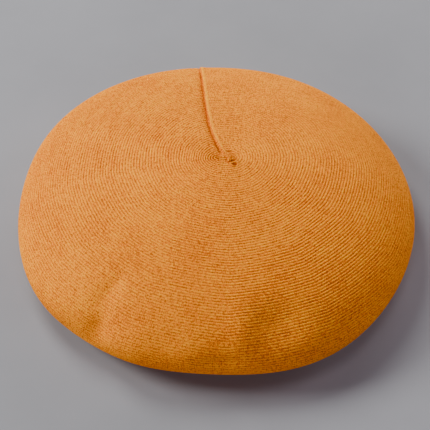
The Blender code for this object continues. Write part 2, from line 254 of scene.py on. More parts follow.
# ---------------------------------------------------------------- relief of the knit
# Places and widths across the seam line; a positive place is to its left, seen from the front
SEAM_GROOVE = 0.0017
SEAM_GROOVE_PLACE = 0.0007
SEAM_GROOVE_WIDTH = 0.0008
SEAM_VALLEY = 0.0008
SEAM_VALLEY_PLACE = 0.0024
SEAM_VALLEY_WIDTH = 0.0022
SEAM_LAP = 0.00034
SEAM_LAP_PLACE = -0.0013
SEAM_LAP_INNER = 0.0013       # width towards the seam line, and away from it
SEAM_LAP_OUTER = 0.0030
SIDE_LINE = 0.00025           # faint second line beside the seam, near the rim
SIDE_LINE_PLACE = 0.0056
SIDE_LINE_WIDTH = 0.0006
SIDE_LINE_BEGINS = (0.55, 0.8)
CALM = 0.75                   # the ribs are flatter where the lap covers them
CALM_PLACE = -0.0020
CALM_WIDTH = 0.0026
GROOVE_BEGINS = (0.012, 0.05)  # these four run from one value of u to another
LAP_BEGINS = (0.05, 0.14)
SEAM_CLOSES = (0.42, 0.80)
SEAM_ENDS = (1.35, 1.7)
SEAM_CLOSED = 0.70            # share of the groove and valley lost towards the rim
EVERY_OTHER = 0.16            # every other rib stands out more near the tip
EVERY_OTHER_RIBS = 30.0
BROKEN = 0.35
LEFT_REACH = 0.014            # the first ribs are deeper to the left of the tip
LEFT_DEEPER = 1.5
PUCKER = 0.00055
STRETCH_OVAL = 0.0042         # the seam's end pulls the first rings into ovals,
STRETCH_LEFT = 0.0018         # more to the left than to the right
STRETCH_REACH = 0.022
TIP_CURVATURE = 1.0 / 0.16
PUCKER_REACH = 0.0075
GROOVE_PAINTED_SHADE = 0.45           # how much shade is painted on the wool deep in the seam, between the first ribs and in the puckers at the tip
RING_PAINTED_SHADE = 0.70             # between the first ribs
DIMPLE_PAINTED_SHADE = 0.75           # and in the puckers at the tip
TIP_DIMPLES = (               # right of the tip, behind it, half width, depth
    (0.0011, 0.0055, 0.0012, 0.0014),
    (0.0024, 0.0027, 0.0008, 0.0013),
    (0.0038, 0.0004, 0.0008, 0.0013),
    (0.0028, -0.0024, 0.0008, 0.0011),
    (-0.0010, -0.0017, 0.0008, 0.0010),
    (0.0004, -0.0043, 0.0008, 0.0009),
    (0.0045, -0.0063, 0.0016, 0.0010),
)


def seam_distance(u, column, points):
    """Signed distance from the seam line, over the surface; it grows anticlockwise."""
    apart = (column - SEAM_AZIMUTH + math.pi) % (2.0 * math.pi) - math.pi
    radius = np.linalg.norm(points[..., :2] - TIP[:2], axis=-1)
    return apart * radius


def felting(u, column):
    """How far the ribs stand out: they are felted flatter in some places."""
    clear = 1.0 - 0.50 * bell(column, math.radians(60.0), math.radians(32.0)) * smoothstep(0.2, 0.6, u)
    clear = clear - 0.40 * bell(column, math.radians(-135.0), math.radians(35.0)) * smoothstep(0.4, 0.8, u)
    clear = clear - 0.20 * bell(column, math.radians(120.0), math.radians(20.0)) * smoothstep(0.6, 0.9, u)
    clear = clear * (1.0 - 0.45 * smoothstep(0.70, 0.95, u))
    return clear


def rib_valley(wale):
    """1 between two ribs and 0 on top of one, with rounded tops and sharp valleys."""
    across = abs(2.0 * (wale % 1.0) - 1.0)
    return 1.0 - math.sqrt(max(1.0 - across * across, 0.0))


def knit_points(wale, every, outer):
    """Points of one row of the knit, outside or inside, with its columns and how much shade is painted on
    it.
    """
    columns = wale_map.columns[::every]
    u = wale_map.place(wale, every)
    base = surface(u, columns)
    normal = surface_normal(u, columns)
    distance = seam_distance(u, columns, base)
    radius = np.linalg.norm(base[:, :2] - TIP[:2], axis=-1)
    near_tip = hump(radius, 0.0, STRETCH_REACH)
    aside = (STRETCH_OVAL * np.cos(columns) - STRETCH_LEFT * np.abs(np.cos(columns))) * near_tip
    drop = -aside * (base[:, 0] - TIP[0] + 0.5 * aside) * TIP_CURVATURE
    base = base + np.stack([aside, 0.0 * aside, drop], axis=-1)
    if not outer:
        return base - normal * KNIT_THICKNESS, columns, 0.0 * columns
    alternate = EVERY_OTHER * math.cos(math.pi * math.floor(wale))
    every_other = 1.0 + alternate * math.exp(-wale / EVERY_OTHER_RIBS)
    past_tip = smoothstep(*LAP_BEGINS, u)
    near_seam = hump(distance, CALM_PLACE, CALM_WIDTH) * past_tip
    broken = 1.0 + BROKEN * np.sin(31.0 * columns + 5.0 * wale) * np.sin(17.0 * columns - 2.3 * wale)
    left_of_tip = np.maximum(-np.cos(columns), 0.0) * hump(radius, 0.0, LEFT_REACH)
    valley = rib_valley(wale)
    depth = RIB_DEPTH * felting(u, columns) * every_other * broken * (1.0 - CALM * near_seam)
    depth = depth * (1.0 + LEFT_DEEPER * left_of_tip)
    relief = -depth * valley
    off_table = 1.0 - smoothstep(*SEAM_ENDS, u)
    fade = smoothstep(*GROOVE_BEGINS, u) * off_table
    open_seam = 1.0 - SEAM_CLOSED * smoothstep(*SEAM_CLOSES, u)
    groove = open_seam * fade * hump(distance, SEAM_GROOVE_PLACE, SEAM_GROOVE_WIDTH)
    hollow = open_seam * past_tip * hump(distance, SEAM_VALLEY_PLACE, SEAM_VALLEY_WIDTH)
    relief = relief - SEAM_GROOVE * groove - SEAM_VALLEY * hollow
    lap_width = np.where(distance > SEAM_LAP_PLACE, SEAM_LAP_INNER, SEAM_LAP_OUTER)
    relief = relief + SEAM_LAP * past_tip * off_table * hump(distance, SEAM_LAP_PLACE, lap_width)
    side_line = smoothstep(*SIDE_LINE_BEGINS, u) * fade * hump(distance, SIDE_LINE_PLACE, SIDE_LINE_WIDTH)
    relief = relief - SIDE_LINE * side_line
    # Painted shade, kept per point: darker deep in the seam groove, between the first ribs left of the tip
    # and in the dimples at the tip.
    shade = GROOVE_PAINTED_SHADE * groove
    shade = shade + RING_PAINTED_SHADE * left_of_tip * valley
    for right, behind, half, depth in TIP_DIMPLES:
        apart = np.hypot(base[:, 0] - TIP[0] - right, base[:, 1] - TIP[1] - behind)
        dimple = hump(apart, 0.0, half)
        relief = relief - depth * dimple
        shade = shade + DIMPLE_PAINTED_SHADE * dimple
    pucker = np.sin(5.0 * columns + 2.0) * np.sin(9.0 * columns + 700.0 * radius)
    relief = relief + PUCKER * pucker * hump(radius, 0.0, PUCKER_REACH)
    return base + normal * relief[:, None], columns, shade


# ---------------------------------------------------------------- meshes
# point attribute that carries the painted shade to the wool material
PAINTED_SHADE_NAME = "painted_shade"
TURNED_EDGE = math.radians(60.0)


def ring_pairs(count_a, count_b):
    """Faces between two rings, as (ring, column) corners; the counts are equal or 1 to 2."""
    faces = []
    if count_a == count_b:
        for j in range(count_a):
            faces.append(((0, j), (1, j), (1, j + 1), (0, j + 1)))
    elif count_b == 2 * count_a:
        for j in range(count_a):
            faces.append(((0, j), (1, 2 * j), (1, 2 * j + 1)))
            faces.append(((0, j), (1, 2 * j + 1), (0, j + 1)))
            faces.append(((0, j + 1), (1, 2 * j + 1), (1, 2 * j + 2)))
    else:
        for j in range(count_b):
            faces.append(((0, 2 * j), (1, j), (0, 2 * j + 1)))
            faces.append(((0, 2 * j + 1), (1, j), (1, j + 1)))
            faces.append(((0, 2 * j + 1), (1, j + 1), (0, 2 * j + 2)))
    return faces


def set_uv(mesh, corners):
    layer = mesh.uv_layers.new(name="knit")
    layer.data.foreach_set("uv", np.array(corners, np.float32).ravel())


def turn_faces_outward(mesh):
    shape = bmesh.new()
    shape.from_mesh(mesh)
    bmesh.ops.recalc_face_normals(shape, faces=shape.faces)
    shape.to_mesh(mesh)
    shape.free()


def rings_mesh(name, rings):
    """Closed mesh of rings, each a dict; columns has one more entry than points."""
    verts = np.concatenate([ring["points"] for ring in rings])
    starts = np.cumsum([0] + [len(ring["points"]) for ring in rings])
    faces = []
    corners = []
    for k in range(len(rings)):
        two = (k, (k + 1) % len(rings))
        counts = [len(rings[i]["points"]) for i in two]
        for face in ring_pairs(*counts):
            faces.append(tuple(int(starts[two[side]] + j % counts[side]) for side, j in face))
            middle = sum(rings[two[side]]["columns"][j] for side, j in face) / len(face)
            base = middle - gore_offset(middle)
            for side, j in face:
                ring = rings[two[side]]
                corners.append(((ring["columns"][j] - base) * ring["scale"], ring["row"]))
    mesh = bpy.data.meshes.new(name)
    mesh.from_pydata(verts.tolist(), [], faces)
    set_uv(mesh, corners)
    # painted shade of each point, read by the wool material
    painted_shades = np.concatenate([ring["shade"] for ring in rings]).astype(np.float32)
    mesh.attributes.new(PAINTED_SHADE_NAME, "FLOAT", "POINT").data.foreach_set("value", painted_shades)
    return mesh


def knit_ring(wale, every, outer):
    points, columns, shade = knit_points(wale, every, outer)
    radius = float(np.mean(np.linalg.norm(points[:, :2] - TIP[:2], axis=-1)))
    wrapped = np.append(columns, columns[0] + 2.0 * math.pi)
    scale = radius / STITCH_LENGTH
    return {"points": points, "columns": wrapped, "scale": scale, "row": wale, "shade": shade}


def add_piece(name, mesh, material, body=BODY):
    mesh.materials.append(material)
    mesh.shade_smooth()
    item = bpy.data.objects.new(name, mesh)
    bpy.context.scene.collection.objects.link(item)
    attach(item, body)
    return item


def knit_shell(name, first, last, material):
    """Closed double wall of knit between two ribs: ribbed outside, smoother inside."""
    rings = []
    count = int(round((last - first) * ROWS_PER_WALE))
    for k in range(count + 1):
        wale = first + k / ROWS_PER_WALE
        rings.append(knit_ring(wale, column_step(wale), True))
    inner_wales = np.arange(math.ceil(first), last + 1)
    inner_wales[-1] = last
    inner = [knit_ring(float(wale), max(column_step(wale), 2), False) for wale in inner_wales]
    if first < 1.0:
        inner.insert(0, knit_ring(first, column_step(first), False))
    mesh = rings_mesh(name, rings + inner[::-1])
    mesh.set_sharp_from_angle(angle=TURNED_EDGE)
    return add_piece(name, mesh, material)


# ---------------------------------------------------------------- materials
def new_tree(name):
    material = bpy.data.materials.new(name)
    material.use_nodes = True
    tree = material.node_tree
    shader = tree.nodes["Principled BSDF"]
    return material, tree, shader


def math_node(tree, operation, first, second=0.0, third=0.0):
    node = tree.nodes.new("ShaderNodeMath")
    node.operation = operation
    for socket, value in zip(node.inputs, (first, second, third)):
        if isinstance(value, (int, float)):
            socket.default_value = value
        else:
            tree.links.new(value, socket)
    return node.outputs[0]


def noise_node(tree, vector, scale, detail=3.0, roughness=0.55):
    node = tree.nodes.new("ShaderNodeTexNoise")
    node.inputs["Scale"].default_value = scale
    node.inputs["Detail"].default_value = detail
    node.inputs["Roughness"].default_value = roughness
    tree.links.new(vector, node.inputs["Vector"])
    return node.outputs[0]


def ramp_node(tree, value, stops):
    node = tree.nodes.new("ShaderNodeValToRGB")
    tree.links.new(value, node.inputs[0])
    ramp = node.color_ramp
    while len(ramp.elements) < len(stops):
        ramp.elements.new(0.5)
    for element, (place, colour) in zip(ramp.elements, stops):
        element.position = place
        element.color = (*colour, 1.0)
    return node.outputs[0]


def object_vector(tree):
    return tree.nodes.new("ShaderNodeTexCoord").outputs["Object"]


def bump(tree, shader, height, strength, distance):
    node = tree.nodes.new("ShaderNodeBump")
    node.inputs["Strength"].default_value = strength
    node.inputs["Distance"].default_value = distance
    tree.links.new(height, node.inputs["Height"])
    tree.links.new(node.outputs[0], shader.inputs["Normal"])


STRAY = 0.42                  # how far felting moves the stitches, in stitches
LEG_LEAN = 0.55
# painted shade between the stitch legs
LEG_PAINTED_SHADE = 0.28
CREST_MEAN = 0.667
YARN_TWIST = 2.6
WOOL_SHEEN = 0.10
WOOL_SPECULAR = 0.06
WOOL_TINT = (1.0, 0.45, 0.02, 1.0)


def woolly(shader, roughness, sheen_roughness):
    shader.inputs["Roughness"].default_value = roughness
    shader.inputs["Specular IOR Level"].default_value = WOOL_SPECULAR
    shader.inputs["Sheen Weight"].default_value = WOOL_SHEEN
    shader.inputs["Sheen Roughness"].default_value = sheen_roughness
    shader.inputs["Sheen Tint"].default_value = WOOL_TINT


def uv_axes(tree):
    """The UV map's two directions."""
    uv = tree.nodes.new("ShaderNodeUVMap")
    uv.uv_map = "knit"
    split = tree.nodes.new("ShaderNodeSeparateXYZ")
    tree.links.new(uv.outputs[0], split.inputs[0])
    return split.outputs[0], split.outputs[1]


def folded(tree, value):
    """1 at whole numbers and 0 halfway between them."""
    doubled = math_node(tree, "MULTIPLY_ADD", math_node(tree, "FRACT", value), 2.0, -1.0)
    return math_node(tree, "ABSOLUTE", doubled)


def wool_knit_material(name, dark, middle, light, rib_painted_shade):
    """Stocking stitch along the UV map: U counts stitches along a rib and V counts ribs."""
    material, tree, shader = new_tree(name)
    u_axis, v_axis = uv_axes(tree)
    place = object_vector(tree)
    matting = noise_node(tree, place, 900.0, 3.0)
    fibres = noise_node(tree, place, 3200.0, 4.0, 0.7)
    grain = noise_node(tree, place, 1500.0, 2.0, 0.6)
    speckle = noise_node(tree, place, 560.0, 2.0, 0.6)
    patches = noise_node(tree, place, 34.0, 2.0)
    stray = math_node(tree, "MULTIPLY_ADD", matting, STRAY, -0.5 * STRAY)
    along = math_node(tree, "ADD", u_axis, stray)
    across = math_node(tree, "MULTIPLY_ADD", stray, 0.6, v_axis)
    fold = folded(tree, across)
    leg_place = math_node(tree, "MULTIPLY_ADD", fold, LEG_LEAN, along)
    leg = math_node(tree, "SUBTRACT", 1.0, folded(tree, leg_place))
    crest = math_node(tree, "SUBTRACT", 1.0, math_node(tree, "MULTIPLY", fold, fold))
    stitch = math_node(tree, "MULTIPLY_ADD", leg, 0.55, math_node(tree, "MULTIPLY", crest, 0.45))
    height = math_node(tree, "MULTIPLY_ADD", fibres, 0.7, stitch)
    height = math_node(tree, "MULTIPLY_ADD", matting, 1.1, height)
    # Painted shade: the valleys between the ribs (crest) and between the stitch legs (leg) are painted
    # darker, on top of the bump; the noises below are the wool's own uneven tone.
    start = 0.5 - CREST_MEAN * rib_painted_shade - 0.5 * LEG_PAINTED_SHADE
    tone = math_node(tree, "MULTIPLY_ADD", crest, rib_painted_shade, start)
    tone = math_node(tree, "MULTIPLY_ADD", leg, LEG_PAINTED_SHADE, tone)
    mottle = ((fibres, 0.9), (grain, 2.1), (matting, 1.3), (speckle, 0.8), (patches, 0.4))
    for noise, strength in mottle:
        swing = math_node(tree, "MULTIPLY_ADD", noise, strength, -0.5 * strength)
        tone = math_node(tree, "ADD", tone, swing)
    # painted shade from the knit's points: seam groove, first ribs and tip dimples
    painted_shade_input = tree.nodes.new("ShaderNodeAttribute")
    painted_shade_input.attribute_name = PAINTED_SHADE_NAME
    tone = math_node(tree, "SUBTRACT", tone, painted_shade_input.outputs["Fac"])
    colour = ramp_node(tree, tone, ((0.12, dark), (0.5, middle), (0.88, light)))
    tree.links.new(colour, shader.inputs["Base Color"])
    woolly(shader, 0.92, 0.45)
    bump(tree, shader, height, 0.75, 0.0006)
    return material


def yarn_material(name, dark, light):
    """Plied yarn: U runs along it in yarn widths and V once round it."""
    material, tree, shader = new_tree(name)
    u_axis, v_axis = uv_axes(tree)
    twist = math_node(tree, "MULTIPLY", u_axis, YARN_TWIST)
    ply = math_node(tree, "MULTIPLY_ADD", v_axis, 2.0 * math.tau, twist)
    strand = math_node(tree, "MULTIPLY_ADD", math_node(tree, "SINE", ply), 0.5, 0.5)
    fibres = noise_node(tree, object_vector(tree), 3500.0, 4.0, 0.7)
    height = math_node(tree, "MULTIPLY_ADD", fibres, 0.5, strand)
    tone = math_node(tree, "MULTIPLY_ADD", strand, 0.6, math_node(tree, "MULTIPLY", fibres, 0.5))
    tree.links.new(ramp_node(tree, tone, ((0.15, dark), (0.85, light))), shader.inputs["Base Color"])
    woolly(shader, 0.9, 0.5)
    bump(tree, shader, height, 0.6, 0.0002)
    return material


WARP_PITCH = 0.00045
WEFT_PITCH = 0.00035
BRAID_RADIUS = 0.09           # the elastic's ring, for the pitch of its braid


def label_material(name):
    """Blank woven tape: a fine satin weave in both directions."""
    material, tree, shader = new_tree(name)
    split = tree.nodes.new("ShaderNodeSeparateXYZ")
    tree.links.new(object_vector(tree), split.inputs[0])
    warp_turn = math_node(tree, "MULTIPLY", split.outputs[0], math.tau / WARP_PITCH)
    weft_turn = math_node(tree, "MULTIPLY", split.outputs[1], math.tau / WEFT_PITCH)
    warp = math_node(tree, "SINE", warp_turn)
    weft = math_node(tree, "SINE", weft_turn)
    weave = math_node(tree, "MULTIPLY_ADD", warp, 0.25, math_node(tree, "MULTIPLY_ADD", weft, 0.25, 0.5))
    wear = noise_node(tree, object_vector(tree), 160.0)
    tone = math_node(tree, "MULTIPLY_ADD", weave, 0.5, math_node(tree, "MULTIPLY", wear, 0.5))
    stops = ((0.2, (0.60, 0.57, 0.50)), (0.8, (0.84, 0.82, 0.76)))
    tree.links.new(ramp_node(tree, tone, stops), shader.inputs["Base Color"])
    shader.inputs["Roughness"].default_value = 0.6
    shader.inputs["Sheen Weight"].default_value = 0.15
    bump(tree, shader, weave, 0.5, 0.0001)
    return material


def braid_material(name, dark, light, pitch):
    """Braided cover of the elastic: crossing diagonal strands in object space."""
    material, tree, shader = new_tree(name)
    split = tree.nodes.new("ShaderNodeSeparateXYZ")
    tree.links.new(object_vector(tree), split.inputs[0])
    turn = math_node(tree, "ARCTAN2", split.outputs[1], split.outputs[0])
    run = math_node(tree, "MULTIPLY", turn, BRAID_RADIUS * math.tau / pitch)
    rise = math_node(tree, "MULTIPLY", split.outputs[2], math.tau / pitch)
    left = math_node(tree, "SINE", math_node(tree, "ADD", run, rise))
    right = math_node(tree, "SINE", math_node(tree, "SUBTRACT", run, rise))
    strand = math_node(tree, "MULTIPLY_ADD", math_node(tree, "MAXIMUM", left, right), 0.5, 0.5)
    tree.links.new(ramp_node(tree, strand, ((0.3, dark), (0.9, light))), shader.inputs["Base Color"])
    shader.inputs["Roughness"].default_value = 0.7
    bump(tree, shader, strand, 0.6, 0.0002)
    return material


# Wool colours, darkest to lightest; the painted shade between ribs and stitches, in the seam groove and at
# the tip pulls the colour towards DARK.
DARK = (0.44, 0.070, 0.002)
MIDDLE = (0.94, 0.220, 0.002)
LIGHT = (1.00, 0.380, 0.002)
WOOL = wool_knit_material("wool_knit_looks", DARK, MIDDLE, LIGHT, 0.40)
# Lighter copy of the wool for the raised seam edge: painted highlight where the edge catches the light,
# and less painted shade between its ribs.
SEAM_DARK = (0.66, 0.140, 0.002)
SEAM_MIDDLE = (0.98, 0.275, 0.002)
SEAM_LIGHT = (1.00, 0.430, 0.002)
SEAM_WOOL = wool_knit_material("seam_knit_looks", SEAM_DARK, SEAM_MIDDLE, SEAM_LIGHT, 0.14)
YARN = yarn_material("linking_yarn_looks", (0.60, 0.120, 0.002), (1.00, 0.340, 0.002))
TAPE = label_material("label_tape_looks")
BRAID = braid_material("elastic_braid_looks", (0.62, 0.60, 0.55), (0.86, 0.84, 0.80), 0.0009)


# ---------------------------------------------------------------- crown and underside
crown = knit_shell("crown_knit_fabric", FIRST_WALE, SPLIT_WALE, WOOL)
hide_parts("crown_knit")
side = knit_shell("underside_knit_fabric", float(SPLIT_WALE), float(WALES), WOOL)
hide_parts("underside_knit")


MEASURE_FROM = 0.05           # rib where the crown's measures begin
MEASURE_ROWS = 120


def smooth_measures(first, last):
    """Mean length across the ribs from one to another, and the smooth surface's area between them."""
    wales = np.linspace(first, last, MEASURE_ROWS)
    rows = np.array([surface(wale_map.place(wale, 4), wale_map.columns[::4]) for wale in wales])
    down = np.diff(rows, axis=0)
    around = np.roll(rows, -1, axis=1) - rows
    length = float(np.linalg.norm(down, axis=-1).sum(axis=0).mean())
    return length, float(np.linalg.norm(np.cross(down, around[:-1]), axis=-1).sum())


crown_reach, crown_area = smooth_measures(MEASURE_FROM, SPLIT_WALE)
side_reach, side_area = smooth_measures(SPLIT_WALE, WALES)


# ---------------------------------------------------------------- tubes of yarn
def tube_mesh(name, paths, radius, sides=8, closed=False):
    """Yarns along the paths, as one mesh; open ones get rounded ends."""
    verts = []
    faces = []
    corners = []
    for path in paths:
        points = [Vector(p) for p in path]
        count = len(points)
        start = len(verts)
        travelled = [0.0]
        for k in range(1, count + 1):
            travelled.append(travelled[-1] + (points[k % count] - points[k - 1]).length)
        side = None
        for k, point in enumerate(points):
            if closed:
                along = points[(k + 1) % count] - points[k - 1]
            else:
                along = points[min(k + 1, count - 1)] - points[max(k - 1, 0)]
            along.normalize()
            if side is None:
                side = along.orthogonal().normalized()
            side = (side - along * side.dot(along)).normalized()
            up = along.cross(side)
            width = radius
            if not closed and k in (0, count - 1):
                width = 0.55 * radius
            for j in range(sides):
                turn = 2.0 * math.pi * j / sides
                verts.append(point + (side * math.cos(turn) + up * math.sin(turn)) * width)
        hops = count if closed else count - 1
        for k in range(hops):
            after = (k + 1) % count
            for j in range(sides):
                right = (j + 1) % sides
                here = start + k * sides
                beyond = start + after * sides
                faces.append((here + j, here + right, beyond + right, beyond + j))
                for far, turn in ((0, j), (0, j + 1), (1, j + 1), (1, j)):
                    corners.append((travelled[k + far] / radius, turn / sides))
        if not closed:
            faces.append(tuple(start + j for j in reversed(range(sides))))
            last = start + (count - 1) * sides
            faces.append(tuple(last + j for j in range(sides)))
            corners.extend([(0.0, 0.0)] * (2 * sides))
    mesh = bpy.data.meshes.new(name)
    mesh.from_pydata([tuple(v) for v in verts], [], faces)
    set_uv(mesh, corners)
    return mesh


# ---------------------------------------------------------------- closing seam
LAP_WIDTH = 0.0023
LAP_HEIGHT = 0.00024
LAP_LIFT = 0.00024
LAP_FROM_TO = (0.022, 1.55)   # values of u
LAP_STEP = 0.00036
LAP_TAPER = 0.016
BAND_SIDES = 16
SELVEDGE_WIDTH = 0.0036
SELVEDGE_HEIGHT = 0.0010
SELVEDGE_LIFT = -KNIT_THICKNESS - 0.0006
SELVEDGE_FROM_TO = (0.10, 2.6)


def seam_line(first, last):
    """Values of u at equal steps over the surface along the seam."""
    fine = np.linspace(first, last, 2000)
    points = surface(fine, np.full_like(fine, SEAM_AZIMUTH))
    travelled = np.concatenate([[0.0], np.cumsum(np.linalg.norm(np.diff(points, axis=0), axis=-1))])
    count = int(travelled[-1] / LAP_STEP)
    return np.interp(np.linspace(0.0, travelled[-1], count), travelled, fine), travelled[-1]


def seam_band(name, from_to, width, height, place, lift, sign):
    """Rounded linked edge along the seam, with its stitches crossing it; sign -1.0 is inside."""
    u, length = seam_line(*from_to)
    column = np.full_like(u, SEAM_AZIMUTH)
    line = surface(u, column)
    normal = surface_normal(u, column)
    ahead = np.gradient(line, axis=0)
    ahead /= np.linalg.norm(ahead, axis=-1, keepdims=True)
    across = np.cross(normal, ahead)
    shares = np.linspace(0.0, 2.0 * math.pi, BAND_SIDES + 1)[:-1]
    travel = np.linspace(0.0, length, len(u))
    stitch = np.abs(np.sin(math.pi * travel / STITCH_LENGTH))
    wobble = 0.00012 * np.sin(travel * 420.0) + 0.00010 * np.sin(travel * 910.0 + 1.3)
    taper = np.minimum(1.0, np.minimum(travel, length - travel) / LAP_TAPER + 0.20)
    rings = []
    for k in range(len(u)):
        bulge = height * (0.80 + 0.20 * stitch[k]) * taper[k]
        centre = line[k] + across[k] * (place + wobble[k]) + normal[k] * lift
        ring = []
        for turn in shares:
            out = math.sin(turn)
            rise = bulge * (out if out > 0.0 else 0.5 * out)
            half = 0.5 * width * taper[k] * (0.94 + 0.06 * stitch[k])
            ring.append(centre + across[k] * (math.cos(turn) * half) + normal[k] * (sign * rise))
        rings.append(ring)
    return band_piece(name, rings, travel / STITCH_LENGTH)


def band_piece(name, rings, along):
    """Seam edge as a tube of rings of any section, with closed ends."""
    sides = len(rings[0])
    verts = [tuple(p) for ring in rings for p in ring]
    faces = []
    corners = []
    for k in range(len(rings) - 1):
        for j in range(sides):
            right = (j + 1) % sides
            here = k * sides
            beyond = here + sides
            faces.append((here + j, here + right, beyond + right, beyond + j))
            for far, turn in ((0, j), (0, j + 1), (1, j + 1), (1, j)):
                corners.append((along[k + far], 2.0 * turn / sides))
    faces.append(tuple(reversed(range(sides))))
    faces.append(tuple((len(rings) - 1) * sides + j for j in range(sides)))
    corners.extend([(0.0, 0.0)] * (2 * sides))
    mesh = bpy.data.meshes.new(name)
    mesh.from_pydata(verts, [], faces)
    set_uv(mesh, corners)
    turn_faces_outward(mesh)
    return add_piece(name, mesh, SEAM_WOOL)


lap = seam_band("closing_seam_edge", LAP_FROM_TO, LAP_WIDTH, LAP_HEIGHT, SEAM_LAP_PLACE, LAP_LIFT, 1.0)
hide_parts("closing_seam")
selvedge = seam_band(
    "seam_selvedge_edges", SELVEDGE_FROM_TO, SELVEDGE_WIDTH, SELVEDGE_HEIGHT, 0.0, SELVEDGE_LIFT, -1.0
)
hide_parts("seam_selvedges")


# ---------------------------------------------------------------- crown tip
TIP_YARN_RADIUS = 0.00038
TIP_YARN_LIFT = 0.00024
PATCH_LIFT = -0.0004
PATCH_THICKNESS = 0.0008
KNOT_YARN_RADIUS = 0.00042
TAIL_YARN_RADIUS = 0.00036


def tip_surface(x, y, lift=0.0):
    """Point on the crown near its tip, at a sideways distance from it."""
    drop = 0.5 * (x * x + y * y) * TIP_CURVATURE
    return Vector((TIP[0] + x, TIP[1] + y, TIP[2] - drop + lift))


def build_tip():
    """The last loops of the crown, drawn together: small tangled loops over a gathered patch."""
    chooser = random.Random(12)
    paths = []
    loops = (                 # right of the tip, behind it, long half, short half, turn
        (-0.0004, 0.0036, 0.0012, 0.0007, -0.7),
        (0.0012, 0.0031, 0.0013, 0.0007, 0.6),
        (0.0026, 0.0012, 0.0013, 0.0007, 0.5),
        (0.0040, -0.0012, 0.0012, 0.0007, 0.7),
        (0.0009, 0.0004, 0.0011, 0.0007, -0.4),
        (0.0012, -0.0024, 0.0012, 0.0006, 0.9),
        (0.0045, -0.0063, 0.0026, 0.0019, 0.1),
    )
    for x, y, long_half, short_half, turn in loops:
        path = []
        for k in range(18):
            angle = 2.0 * math.pi * k / 18
            dx = long_half * math.cos(angle)
            dy = short_half * math.sin(angle) * (1.0 + 0.25 * math.cos(angle))
            px = x + dx * math.cos(turn) - dy * math.sin(turn)
            py = y + dx * math.sin(turn) + dy * math.cos(turn)
            wave = 0.00028 * math.sin(2.0 * angle + chooser.uniform(-0.3, 0.3))
            path.append(tip_surface(px, py, TIP_YARN_LIFT + wave))
        paths.append(path)
    mesh = tube_mesh("crown_tip_loops", paths, TIP_YARN_RADIUS, closed=True)
    return add_piece("crown_tip_loops", mesh, YARN)


tip_loops = build_tip()
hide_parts("crown_tip_stitch")


def build_tip_patch():
    """Gathered patch of knit that closes the crown under the loops."""
    rings = 7
    around = 48
    verts = [tuple(tip_surface(-STRETCH_LEFT, 0.0, PATCH_LIFT))]
    for k in range(1, rings + 1):
        share = k / rings
        for j in range(around):
            angle = 2.0 * math.pi * j / around
            x = -STRETCH_LEFT + share * (STRETCH_OVAL + 0.0012) * math.cos(angle)
            y = share * 0.0013 * math.sin(angle)
            crease = 0.00018 * math.sin(7.0 * angle + 2.0 * share) * share
            verts.append(tuple(tip_surface(x, y, PATCH_LIFT + 0.0001 * share * share + crease)))
    faces = [(0, 1 + j, 1 + (j + 1) % around) for j in range(around)]
    for k in range(rings - 1):
        for j in range(around):
            a = 1 + k * around + j
            b = 1 + k * around + (j + 1) % around
            faces.append((a, a + around, b + around, b))
    mesh = bpy.data.meshes.new("crown_tip_patch")
    mesh.from_pydata(verts, [], faces)
    set_uv(mesh, [(loop * 0.25, 0.5) for loop in range(len(mesh.loops))])
    patch = add_piece("crown_tip_patch", mesh, WOOL)
    thick = patch.modifiers.new("thickness", "SOLIDIFY")
    thick.thickness = PATCH_THICKNESS
    thick.offset = -1.0
    return patch


tip_patch = build_tip_patch()
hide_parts("crown_tip_stitch")


def build_knot():
    """The gathering yarn's knot under the crown, with its two short tails."""
    centre = 0.5 * (KNOT_LOW + KNOT_HIGH)
    size = 0.5 * (KNOT_HIGH - KNOT_LOW)
    path = []
    for k in range(90):
        turn = 2.0 * math.pi * k / 90
        reach = 0.62 + 0.28 * math.cos(3.0 * turn)
        path.append(centre + Vector((
            size.x * reach * math.cos(2.0 * turn),
            size.y * reach * math.sin(2.0 * turn),
            0.62 * size.z * math.sin(3.0 * turn),
        )))
    tails = []
    for lean in (-1.0, 1.0):
        tail = []
        for k in range(12):
            share = k / 11
            tail.append(centre + Vector((
                lean * (0.0006 + 0.0024 * share),
                0.0008 * math.sin(3.0 * share + lean),
                -0.0006 - 0.0050 * share * share,
            )))
        tails.append(tail)
    knot = tube_mesh("gather_knot_yarn", [path], KNOT_YARN_RADIUS, closed=True)
    ends = tube_mesh("gather_knot_tails", tails, TAIL_YARN_RADIUS)
    knot_piece = add_piece("gather_knot_yarn", knot, YARN)
    tail_piece = add_piece("gather_knot_tails", ends, YARN)
    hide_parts("gather_knot")
    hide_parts("gather_knot")


build_knot()

# ---------------------------------------------------------------- hem
HEM_COLUMNS = 480
HEM_ROWS = 92
HEM_INNER_ROWS = 40
HEM_TURN_RADIUS = 0.5 * HEM_HEIGHT
HEM_WIDTH = 0.0130
HEM_RIB_PITCH = 0.00185
HEM_GATHER = 0.00045          # how deep the elastic gathers the turned edge,
HEM_GATHER_REACH = 0.005      # and how far from it
HEM_MIDDLE_RADIUS = HEM_OUTER_RADIUS - HEM_WIDTH + HEM_TURN_RADIUS


def hem_path(inset, count):
    """Radius, height and outward direction down the folded hem: lower layer, turn, upper layer."""
    reach = HEM_TURN_RADIUS - inset
    run = HEM_OUTER_RADIUS - HEM_MIDDLE_RADIUS
    total = 2.0 * run + math.pi * reach
    places = []
    for k in range(count):
        travelled = total * k / (count - 1)
        if travelled < run:
            places.append((HEM_OUTER_RADIUS - travelled, HEM_TURN_RADIUS - reach, 0.0, -1.0, travelled))
        elif travelled < run + math.pi * reach:
            turn = (travelled - run) / reach
            radius = HEM_MIDDLE_RADIUS - reach * math.sin(turn)
            height = HEM_TURN_RADIUS - reach * math.cos(turn)
            places.append((radius, height, -math.sin(turn), -math.cos(turn), travelled))
        else:
            left = travelled - run - math.pi * reach
            places.append((HEM_MIDDLE_RADIUS + left, HEM_TURN_RADIUS + reach, 0.0, 1.0, travelled))
    return places, total


